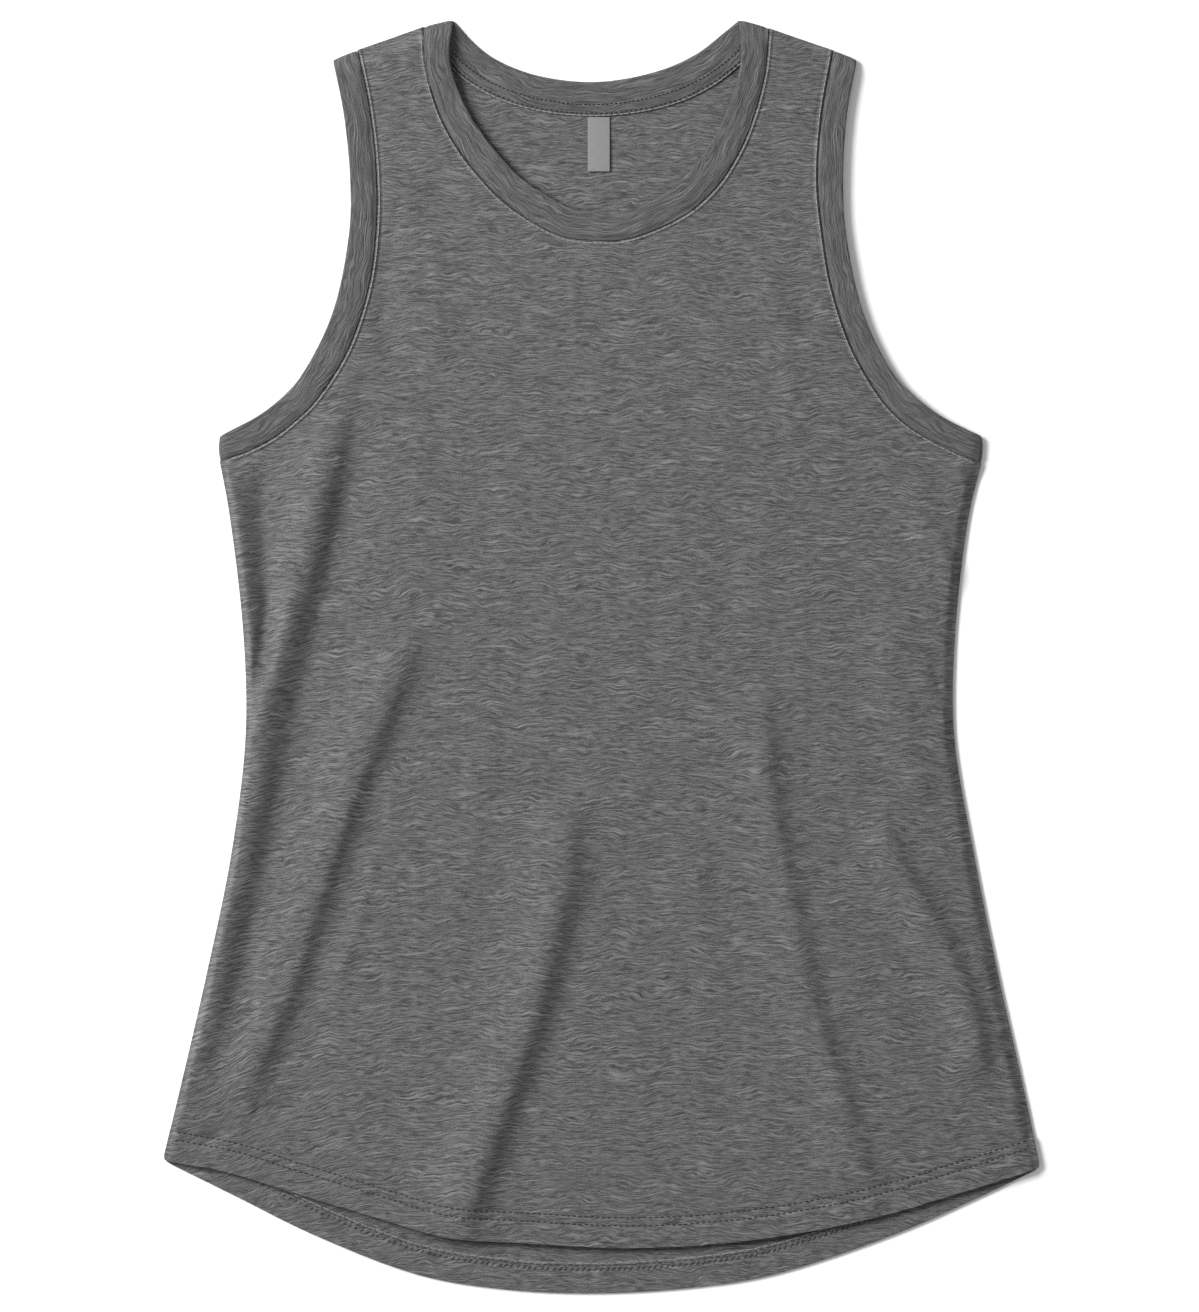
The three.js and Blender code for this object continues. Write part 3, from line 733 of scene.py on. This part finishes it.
# %% The front hem's two rows
hem_paths = []
for seed, row in enumerate(FRONT_ROWS):
    def along_hem(t, row=row):
        u = 0.008 + 0.984 * np.asarray(t)
        return front_at(u, hem_share(front_at, u, row))

    hem_paths += stitch_row(along_hem, lambda xy: front_top(xy) + 0.1, 150, 0.66, 0.35, 0.16, seed)
hem_stitches = threads("front_hem_stitches", hem_paths, 0.4)

# %% The back hem's stitches, seen from inside
loops = []
rng = np.random.default_rng(7)
for i in range(150):
    lean = np.linspace(0, 1, 6)
    u = 0.01 + 0.98 * (i + 0.55 * lean + rng.uniform(-0.12, 0.12)) / 150
    low_row = back_at(u, hem_share(back_at, u, BACK_ROWS[0] - 0.8))
    high_row = back_at(u, hem_share(back_at, u, BACK_ROWS[0] + 1.5 + rng.uniform(-0.3, 0.3)))
    xy = mix(low_row, high_row, lean[:, None])
    loops.append(np.column_stack([xy, back_top(xy) + 0.12 - 0.25 * np.abs(2 * lean - 1) ** 3]))


def back_hem_row(distance):
    def at(t):
        u = 0.01 + 0.98 * np.asarray(t)
        return back_at(u, hem_share(back_at, u, distance))

    return at


loops += stitch_row(back_hem_row(HEM_DEPTH - 2.4), lambda xy: back_top(xy), 140, 0.75, 0.3, 0.12, 12)
back_hem_stitches = threads("back_hem_stitches", loops, 0.3, 5)
# Painted highlight: the raw edge's thread runs as a nearly unbroken light line on the ridge at the top of the
# turned-up hem. Its light colour stands for the real overlock thread and also paints that ridge's highlight.
raw_edge_highlight_paths = stitch_row(back_hem_row(HEM_DEPTH - 1.2), lambda xy: back_top(xy) + 0.1, 110, 0.97, 0.1, 0.05, 21)
raw_edge_stitches_and_highlight = threads("back_hem_edge_stitches_and_painted_highlight", raw_edge_highlight_paths, 0.26, 5)

# %% The stitches beside the bands, with a painted highlight on their ridge


def beside(seam, distance, flip):
    def at(t):
        t = np.asarray(t)
        here, ahead = seam(t), seam(t + 0.004) - seam(t - 0.004)
        ahead = ahead / np.maximum(np.linalg.norm(ahead, axis=-1, keepdims=True), 1e-9)
        return here + flip * distance * np.stack([ahead[..., 1], -ahead[..., 0]], -1)

    return at


# Painted highlight: the thread beside each band runs as a nearly unbroken light line on the ridge there. Its light
# colour stands for the real stitches and also paints the highlight of that ridge.
seam_stitch_and_highlight_paths = []
for seam, flip, count in (
    (front_neck_seam, 1, 110), (lines["left_arm_seam"], 1, 72), (lines["right_arm_seam"], -1, 72),
):
    at = beside(seam, 1.5, flip)
    inset = lambda t, at=at: at(0.012 + 0.976 * np.asarray(t))
    seam_stitch_and_highlight_paths += stitch_row(inset, lambda xy: front_top(xy) + 0.02, count, 0.985, 0.08, 0.02, count)
seam_stitches_and_highlight = threads("band_seam_stitches_and_painted_highlight", seam_stitch_and_highlight_paths, 0.25)

# %% The stitches on the tape
tape_paths = []
for distance, count, seed in ((13.0, 75, 31), (18.0, 70, 32)):
    def on_tape(t, distance=distance):
        s = mix(TAPE_ENDS[0] + 0.005, TAPE_ENDS[1] - 0.005, np.asarray(t))
        return mix(back_neck_edge(s), back_neck_seam(s), distance / BAND_WIDTH)

    tape_paths += stitch_row(on_tape, lambda xy: tape_top(xy) + 0.12, count, 0.62, 0.3, 0.08, seed)
tape_stitches = threads("neck_tape_stitches", tape_paths, 0.42)
# Painted highlight: a nearly unbroken light thread along the tape's lower edge. Its light colour stands for the real
# stitching and also paints the bright line of that edge.
tape_edge_highlight_paths = stitch_row(lambda t: on_tape(t, 19.25), lambda xy: tape_top(xy) + 0.05, 60, 0.97, 0.1, 0.03, 33)
tape_edge_stitches_and_highlight = threads("neck_tape_edge_stitches_and_painted_highlight", tape_edge_highlight_paths, 0.26)

# %% [markdown]
# ## Materials: sums as nodes
# A material's pattern is arithmetic on numbers that change over the cloth. Laid out as nodes by hand it is hard
# to read, so a small class stands for such a number, and Python's own signs add the nodes.

# %% A number that changes over the cloth


class Number:
    def __init__(self, socket):
        self.socket = socket

    def sum(self, operation, a, b):
        tree = self.socket.id_data
        node = tree.nodes.new("ShaderNodeMath")
        node.operation = operation
        for place, value in zip(node.inputs, (a, b)):
            if isinstance(value, Number):
                tree.links.new(value.socket, place)
            else:
                place.default_value = value
        return Number(node.outputs[0])

    def __add__(self, other):
        return self.sum("ADD", self, other)

    def __radd__(self, other):
        return self.sum("ADD", other, self)

    def __sub__(self, other):
        return self.sum("SUBTRACT", self, other)

    def __rsub__(self, other):
        return self.sum("SUBTRACT", other, self)

    def __mul__(self, other):
        return self.sum("MULTIPLY", self, other)

    def __rmul__(self, other):
        return self.sum("MULTIPLY", other, self)


# %% A material and its nodes


class Finish:
    """A material with one shader. node() adds any other node, with its settings and what its sockets take."""

    def __init__(self, name, roughness, sheen=0.0, specular=0.25):
        self.material = bpy.data.materials.new(name)
        self.material.use_nodes = True
        self.tree = self.material.node_tree
        self.shader = self.tree.nodes["Principled BSDF"]
        self.shader.inputs["Roughness"].default_value = roughness
        self.shader.inputs["Sheen Weight"].default_value = sheen
        self.shader.inputs["Specular IOR Level"].default_value = specular

    def node(self, kind, settings=None, sockets=None):
        node = self.tree.nodes.new(kind)
        for key, value in (settings or {}).items():
            setattr(node, key, value)
        for key, value in (sockets or {}).items():
            self.give(node.inputs[key], value)
        return node

    def give(self, place, value):
        if isinstance(value, Number):
            self.tree.links.new(value.socket, place)
        elif isinstance(value, bpy.types.NodeSocket):
            self.tree.links.new(value, place)
        else:
            place.default_value = value

    def knit(self):
        """Where a point lies on the cloth, along and up the knit, in metres."""
        uv = self.node("ShaderNodeUVMap", {"uv_map": "knit"})
        parts = self.node("ShaderNodeSeparateXYZ", sockets={"Vector": uv.outputs["UV"]})
        return Number(parts.outputs["X"]), Number(parts.outputs["Y"])

    def noise(self, x, y, seed, detail=2.0, roughness=0.5):
        place = self.node("ShaderNodeCombineXYZ", sockets={"X": x, "Y": y, "Z": seed})
        sockets = {"Vector": place.outputs[0], "Scale": 1.0, "Detail": detail, "Roughness": roughness}
        return Number(self.node("ShaderNodeTexNoise", sockets=sockets).outputs["Fac"])

    def between(self, value, start, end, low=0.0, high=1.0):
        """low where a number is at most start, high where it is at least end, and a soft step between them."""
        sockets = {"Value": value, "From Min": start, "From Max": end, "To Min": low, "To Max": high}
        return Number(self.node("ShaderNodeMapRange", {"interpolation_type": "SMOOTHSTEP"}, sockets).outputs[0])

    def blend(self, factor, a, b):
        node = self.node("ShaderNodeMix", {"data_type": "RGBA"})
        self.give(node.inputs[0], factor)
        for place, colour in ((node.inputs[6], a), (node.inputs[7], b)):
            self.give(place, colour)
        return node.outputs[2]

    def relief(self, height, distance, strength=1.0):
        node = self.node("ShaderNodeBump", sockets={"Height": height, "Distance": distance, "Strength": strength})
        self.give(self.shader.inputs["Normal"], node.outputs["Normal"])


def grey(level):
    return (level, level, level * 1.01, 1)


# %% [markdown]
# ## Slub jersey
# The yarn of a slub knit is uneven, so thick light runs and thin dark ones lie along the courses, a few
# centimetres long and about a millimetre high. Stretched noise gives them, cut off at both ends so that most of
# the cloth stays plain. A finer noise gives the stitches of the knit and the fluff between them.

# %% The jersey


def jersey(name, base, strength=1.0, long=1.0):
    finish = Finish(name, 0.92, sheen=0.08, specular=0.18)
    x, y = finish.knit()
    level = y + finish.noise(x * 34, y * 48, 4.0, 1.0) * 0.012 + finish.noise(x * 150, y * 200, 9.0, 1.0) * 0.0022
    long_runs = finish.noise(x * (42 / long), level * 1200, 1.0, 1.0)
    short_runs = finish.noise(x * (110 / long), level * 1400, 17.0, 1.0)
    dark_runs = finish.noise(x * (56 / long), level * 1050, 31.0, 1.0)
    hatch = finish.noise(x * (200 / long), level * 1700, 23.0, 2.0)
    grain = finish.noise(x * 1300, y * 1500, 55.0, 1.0)
    light = finish.between(long_runs, 0.55, 0.73) + finish.between(short_runs, 0.58, 0.78) * 0.8
    dark = finish.between(dark_runs, 0.53, 0.72) + finish.between(short_runs, 0.46, 0.26) * 0.5
    tone = hatch * 0.42 + short_runs * 0.16 + long_runs * 0.16 + grain * 0.26
    spread = 0.62 * strength
    mixed = finish.blend(finish.between(tone, 0.37, 0.63), grey(base * (1 - spread)), grey(base * (1 + spread)))
    darker = finish.blend(dark * (0.75 * strength), mixed, grey(base * 0.45))
    finish.give(finish.shader.inputs["Base Color"], finish.blend(light * (0.66 * strength), darker, grey(base * 2.1)))
    finish.relief(light * 0.8 - dark * 0.6 + hatch * 0.7 + grain * 0.3, 0.3 * MM, 0.8)
    return finish.material


body_jersey = jersey("slub_jersey", 0.0985)
band_jersey = jersey("slub_jersey_bands", 0.086, 0.85, 1.6)

# %% Thread and ribbon


def thread(name, base):
    finish = Finish(name, 0.7, sheen=0.1, specular=0.3)
    place = finish.node("ShaderNodeTexCoord").outputs["Object"]
    fibres = Number(finish.node("ShaderNodeTexNoise", sockets={"Vector": place, "Scale": 2500.0}).outputs["Fac"])
    shade = finish.blend(finish.between(fibres, 0.3, 0.7), grey(base * 0.75), grey(base * 1.25))
    finish.give(finish.shader.inputs["Base Color"], shade)
    finish.relief(fibres, 0.08 * MM, 0.5)
    return finish.material


dark_thread = thread("hem_thread", 0.022)
# Painted highlight: this light thread, far lighter than the dark threads, paints the bright line on the seam ridges
# and along the tape's edge, over the real stitches.
light_thread_and_highlight = thread("band_seam_thread_and_painted_highlight", 0.26)
middle_thread = thread("tape_thread", 0.018)
# Painted highlight: this light thread paints the bright ridge of the back hem's raw edge, over the real overlock
# thread.
edge_thread_and_highlight = thread("raw_edge_thread_and_painted_highlight", 0.24)

ribbon = Finish("label_ribbon", 0.55, sheen=0.0, specular=0.4)
x, y = ribbon.knit()
weave = ribbon.noise(x * 300, y * 2600, 3.0, 1.0) * 0.6 + ribbon.noise(x * 2600, y * 300, 8.0, 1.0) * 0.4
ribbon.give(
    ribbon.shader.inputs["Base Color"],
    ribbon.blend(ribbon.between(weave, 0.35, 0.65), grey(0.17), grey(0.197)),
)
ribbon.relief(weave, 0.1 * MM, 0.4)

# %% Each piece gets its material
for material, dressed in (
    (body_jersey, [front, back]), (band_jersey, [neck, *arms, tape]), (ribbon.material, [label]),
    (dark_thread, [hem_stitches, back_hem_stitches]), (light_thread_and_highlight, [seam_stitches_and_highlight, tape_edge_stitches_and_highlight]),
    (middle_thread, [tape_stitches]), (edge_thread_and_highlight, [raw_edge_stitches_and_highlight]),
):
    for piece in dressed:
        piece.data.materials.append(material)

# %% [markdown]
# ## The cut of the cloth
# A laid-out garment's cloth is nowhere stretched, so the area of the cut is close to the area of the mesh.

# %% [markdown]
# ## Floor and light
# The top lies on a plain, nearly white surface. A large soft light stands high at the upper left and a weaker
# fill comes from all around, so that the ridges are a little lighter on their left and darker on their right.

# %% The floor
bpy.ops.mesh.primitive_plane_add(size=6)
floor = bpy.context.object
floor.name = "floor"
floor.location.z = -0.0002
paper = Finish("floor_paper", 0.9, specular=0.1)
paper.shader.inputs["Base Color"].default_value = (0.95, 0.95, 0.95, 1)
floor.data.materials.append(paper.material)

# %% The lights
world = bpy.data.worlds.new("world")
bpy.context.scene.world = world
world.use_nodes = True
world.node_tree.nodes["Background"].inputs["Color"].default_value = (1, 1, 1, 1)
world.node_tree.nodes["Background"].inputs["Strength"].default_value = 0.45


def soft_light(name, place, size, power):
    data = bpy.data.lights.new(name, "AREA")
    data.shape = "DISK"
    data.size = size
    data.energy = power
    light = bpy.data.objects.new(name, data)
    light.location = place
    light.rotation_euler = (Vector((0, 0, 0)) - Vector(place)).to_track_quat("-Z", "Y").to_euler()
    bpy.context.scene.collection.objects.link(light)
    return light


soft_light("key", (-2.5, 1.25, 2.2), 2.0, 212)
bpy.context.scene.view_settings.view_transform = "Standard"
bpy.context.scene.view_settings.look = "None"
